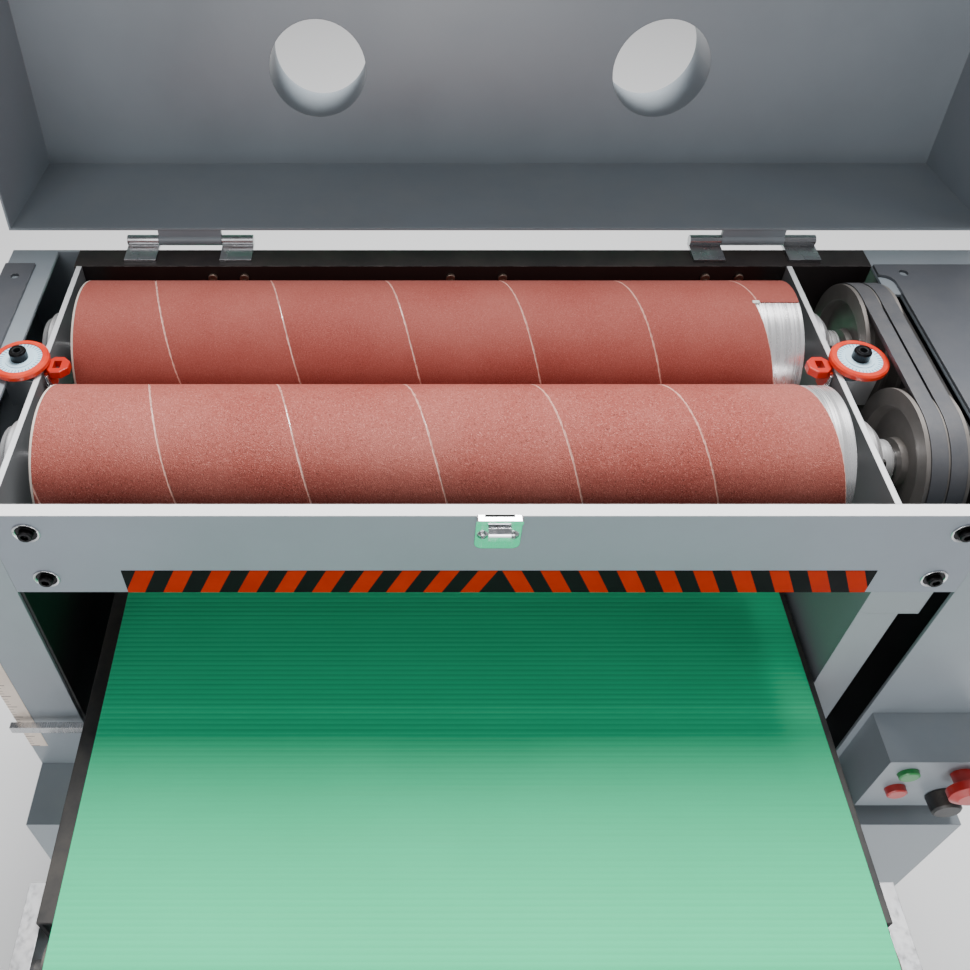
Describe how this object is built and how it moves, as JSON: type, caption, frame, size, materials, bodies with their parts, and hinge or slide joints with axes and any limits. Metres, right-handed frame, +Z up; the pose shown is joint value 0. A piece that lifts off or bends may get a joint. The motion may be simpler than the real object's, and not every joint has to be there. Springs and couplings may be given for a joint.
{
  "type": "drum sander",
  "caption": "Floor-standing double-drum sander with a conveyor table that rises under two abrasive-wrapped drums, belt drive, hinged dust cover and front handwheel.",
  "frame": {"origin": "centre of the four floor-anchor holes, on the floor plane", "axes": "+Z up, -Y towards the infeed side and the operator, +X towards the belt-drive side"},
  "size_m": [0.9315, 0.8619, 1.3424],
  "materials": {
    "anchor_feet": "smooth light blue-grey enamel",
    "bearing_housings": "bright turned steel",
    "cabinet_door": "smooth light blue-grey enamel",
    "cabinet_shell": "smooth light blue-grey enamel",
    "control_box": "smooth light blue-grey enamel",
    "conveyor_belt": "green ribbed rubber",
    "depth_pointer": "bright turned steel",
    "depth_scale": "cream scale with ticks only",
    "dial_mounts": "turned or milled",
    "dial_pointers": "red enamel",
    "door_hinges": "bright turned steel",
    "drive_guard": "light grey enamel",
    "drive_roller": "matt black rubber",
    "dust_ports": "rolled sheet spigots",
    "emergency_stop": "red mushroom head",
    "feed_gearmotor": "dark grey enamel",
    "frame_screws": "black oxide",
    "front_abrasive": "red-brown aluminium oxide abrasive cloth",
    "front_drum_core": "turned or milled",
    "front_drum_shaft": "bright turned steel",
    "front_panel": "smooth light blue-grey enamel",
    "front_pulley": "machined and darkened",
    "front_roller": "matt black rubber",
    "guide_bushes": "bright turned steel",
    "handwheel": "bright turned steel",
    "handwheel_grip": "moulded",
    "hazard_tape": "orange-red and black diagonal tape",
    "hood_hinges": "bright turned steel",
    "hood_shell": "smooth light blue-grey enamel",
    "infeed_press_carrier": "turned or milled",
    "infeed_press_roller": "bright turned steel",
    "inner_walls": "dark grey enamel",
    "latch_keeper": "polished plate",
    "left_dial": "orange-red with a pale scale ring",
    "left_lift_nut": "bright turned steel",
    "left_upright": "smooth light blue-grey enamel",
    "lift_chain": "black oxide",
    "lift_columns": "bright turned steel",
    "lift_gearbox": "dark grey enamel",
    "motor_body": "grey enamel with cooling ribs",
    "motor_mount": "dark grey enamel",
    "motor_pulley": "machined and darkened",
    "outfeed_press_carrier": "turned or milled",
    "outfeed_press_roller": "bright turned steel",
    "rear_abrasive": "red-brown aluminium oxide abrasive cloth",
    "rear_beam": "smooth light blue-grey enamel",
    "rear_drum_core": "turned or milled",
    "rear_drum_shaft": "bright turned steel",
    "rear_pulley": "machined and darkened",
    "right_dial": "orange-red with a pale scale ring",
    "right_lift_nut": "bright turned steel",
    "right_upright": "smooth light blue-grey enamel",
    "roller_blocks": "turned or milled",
    "side_plates": "smooth light blue-grey enamel",
    "speed_knob": "moulded",
    "start_button": "green push button",
    "stop_button": "red push button",
    "table_bed": "turned or milled",
    "top_plates": "dark grey enamel",
    "v_belts": "matt black rubber"
  },
  "bodies": {
    "frame": {"anchor_feet": "anchor_feet", "bearing_housings": "bearing_housings", "cabinet_shell": "cabinet_shell", "control_box": "control_box", "depth_scale": "depth_scale", "dial_mounts": "dial_mounts", "dial_pointers": "dial_pointers", "door_hinges": "door_hinges", "drive_guard": "drive_guard", "frame_screws": "frame_screws", "front_panel": "front_panel", "guide_bushes": "guide_bushes", "hazard_tape": "hazard_tape", "hood_hinges": "hood_hinges", "inner_walls": "inner_walls", "latch_keeper": "latch_keeper", "left_upright": "left_upright", "lift_chain": "lift_chain", "lift_gearbox": "lift_gearbox", "motor_body": "motor_body", "motor_mount": "motor_mount", "rear_beam": "rear_beam", "right_upright": "right_upright", "side_plates": "side_plates", "top_plates": "top_plates", "v_belts": "v_belts"},
    "door": {"cabinet_door": "cabinet_door"},
    "front_drum": {"front_drum_core": "front_drum_core", "front_drum_shaft": "front_drum_shaft", "front_abrasive": "front_abrasive", "front_pulley": "front_pulley"},
    "rear_drum": {"rear_drum_core": "rear_drum_core", "rear_drum_shaft": "rear_drum_shaft", "rear_abrasive": "rear_abrasive", "rear_pulley": "rear_pulley"},
    "motor_rotor": {"motor_pulley": "motor_pulley"},
    "table": {"table_bed": "table_bed", "conveyor_belt": "conveyor_belt", "roller_blocks": "roller_blocks", "feed_gearmotor": "feed_gearmotor", "depth_pointer": "depth_pointer", "lift_columns": "lift_columns"},
    "belt_drive": {"drive_roller": "drive_roller"},
    "belt_idler": {"front_roller": "front_roller"},
    "left_nut": {"left_lift_nut": "left_lift_nut"},
    "right_nut": {"right_lift_nut": "right_lift_nut"},
    "height_wheel": {"handwheel": "handwheel"},
    "wheel_grip": {"handwheel_grip": "handwheel_grip"},
    "dial_left": {"left_dial": "left_dial"},
    "dial_right": {"right_dial": "right_dial"},
    "hood": {"hood_shell": "hood_shell", "dust_ports": "dust_ports"},
    "infeed_carrier": {"infeed_press_carrier": "infeed_press_carrier"},
    "outfeed_carrier": {"outfeed_press_carrier": "outfeed_press_carrier"},
    "infeed_roller": {"infeed_press_roller": "infeed_press_roller"},
    "outfeed_roller": {"outfeed_press_roller": "outfeed_press_roller"},
    "stop_head": {"emergency_stop": "emergency_stop"},
    "start_key": {"start_button": "start_button"},
    "stop_key": {"stop_button": "stop_button"},
    "speed_dial": {"speed_knob": "speed_knob"}
  },
  "joints": [
    {"name": "door_swing", "type": "hinge", "parent": "frame", "child": "door", "pos_m": [0.336, -0.239, 0], "axis": [0, 0, 1], "range_deg": [0, 110]},
    {"name": "front_drum_spin", "type": "hinge", "parent": "frame", "child": "front_drum", "pos_m": [-0.0365, -0.07, 0.92], "axis": [1, 0, 0], "continuous": true},
    {"name": "rear_drum_spin", "type": "hinge", "parent": "frame", "child": "rear_drum", "pos_m": [-0.0365, 0.07, 0.92], "axis": [1, 0, 0], "continuous": true},
    {"name": "motor_spin", "type": "hinge", "parent": "frame", "child": "motor_rotor", "pos_m": [0.353, 0, 0.25], "axis": [1, 0, 0], "continuous": true},
    {"name": "handwheel_turn", "type": "hinge", "parent": "frame", "child": "height_wheel", "pos_m": [-0.24975, -0.27, 0.5], "axis": [0, 1, 0], "range_deg": [0, 11340]},
    {"name": "table_lift", "type": "slide", "parent": "frame", "child": "table", "axis": [0, 0, 1], "range_m": [0, 0.1261]},
    {"name": "left_nut_turn", "type": "hinge", "parent": "frame", "child": "left_nut", "pos_m": [-0.24975, 0, 0.56], "axis": [0, 0, 1], "range_deg": [-11, 11360]},
    {"name": "right_nut_turn", "type": "hinge", "parent": "frame", "child": "right_nut", "pos_m": [0.21025, 0, 0.56], "axis": [0, 0, 1], "range_deg": [-11, 11360]},
    {"name": "grip_spin", "type": "hinge", "parent": "height_wheel", "child": "wheel_grip", "pos_m": [-0.16775, -0.3, 0.5], "axis": [0, 1, 0], "continuous": true},
    {"name": "feed_drive_spin", "type": "hinge", "parent": "table", "child": "belt_drive", "pos_m": [-0.016, 0.4, 0.6959], "axis": [1, 0, 0], "continuous": true},
    {"name": "feed_idler_spin", "type": "hinge", "parent": "table", "child": "belt_idler", "pos_m": [-0.016, -0.4, 0.6959], "axis": [1, 0, 0], "continuous": true},
    {"name": "left_dial_turn", "type": "hinge", "parent": "frame", "child": "dial_left", "pos_m": [-0.389, 0, 0.967], "axis": [0, 0, 1], "range_deg": [-180, 180]},
    {"name": "right_dial_turn", "type": "hinge", "parent": "frame", "child": "dial_right", "pos_m": [0.318, 0, 0.967], "axis": [0, 0, 1], "range_deg": [-180, 180]},
    {"name": "hood_swing", "type": "hinge", "parent": "frame", "child": "hood", "pos_m": [0, 0.172, 0.972], "axis": [1, 0, 0], "range_deg": [0, 95]},
    {"name": "infeed_spring", "type": "slide", "parent": "frame", "child": "infeed_carrier", "axis": [0, 0, 1], "range_m": [0, 0.004], "stiffness_N_per_m": 6000, "springref_m": -0.004},
    {"name": "infeed_roller_spin", "type": "hinge", "parent": "infeed_carrier", "child": "infeed_roller", "pos_m": [-0.0365, -0.147, 0.8655], "axis": [1, 0, 0], "continuous": true},
    {"name": "outfeed_spring", "type": "slide", "parent": "frame", "child": "outfeed_carrier", "axis": [0, 0, 1], "range_m": [0, 0.004], "stiffness_N_per_m": 6000, "springref_m": -0.004},
    {"name": "outfeed_roller_spin", "type": "hinge", "parent": "outfeed_carrier", "child": "outfeed_roller", "pos_m": [-0.0365, 0.147, 0.8655], "axis": [1, 0, 0], "continuous": true},
    {"name": "stop_head_press", "type": "slide", "parent": "frame", "child": "stop_head", "axis": [0, 1, 0], "range_m": [0, 0.004], "stiffness_N_per_m": 900, "springref_m": -0.001},
    {"name": "start_press", "type": "slide", "parent": "frame", "child": "start_key", "axis": [0, 1, 0], "range_m": [0, 0.003], "stiffness_N_per_m": 800, "springref_m": -0.001},
    {"name": "stop_press", "type": "slide", "parent": "frame", "child": "stop_key", "axis": [0, 1, 0], "range_m": [0, 0.003], "stiffness_N_per_m": 800, "springref_m": -0.001},
    {"name": "speed_turn", "type": "hinge", "parent": "frame", "child": "speed_dial", "pos_m": [0.459, -0.22, 0.598], "axis": [0, 1, 0], "range_deg": [-150, 150]}
  ],
  "couplings": [
    {"joint": "rear_drum_spin", "follows": "front_drum_spin", "ratio": 1},
    {"joint": "motor_spin", "follows": "front_drum_spin", "ratio": 1.23},
    {"joint": "table_lift", "follows": "handwheel_turn", "m_per_rad": 0.00063662},
    {"joint": "left_nut_turn", "follows": "handwheel_turn", "ratio": 1},
    {"joint": "right_nut_turn", "follows": "handwheel_turn", "ratio": 1},
    {"joint": "feed_idler_spin", "follows": "feed_drive_spin", "ratio": 1}
  ]
}
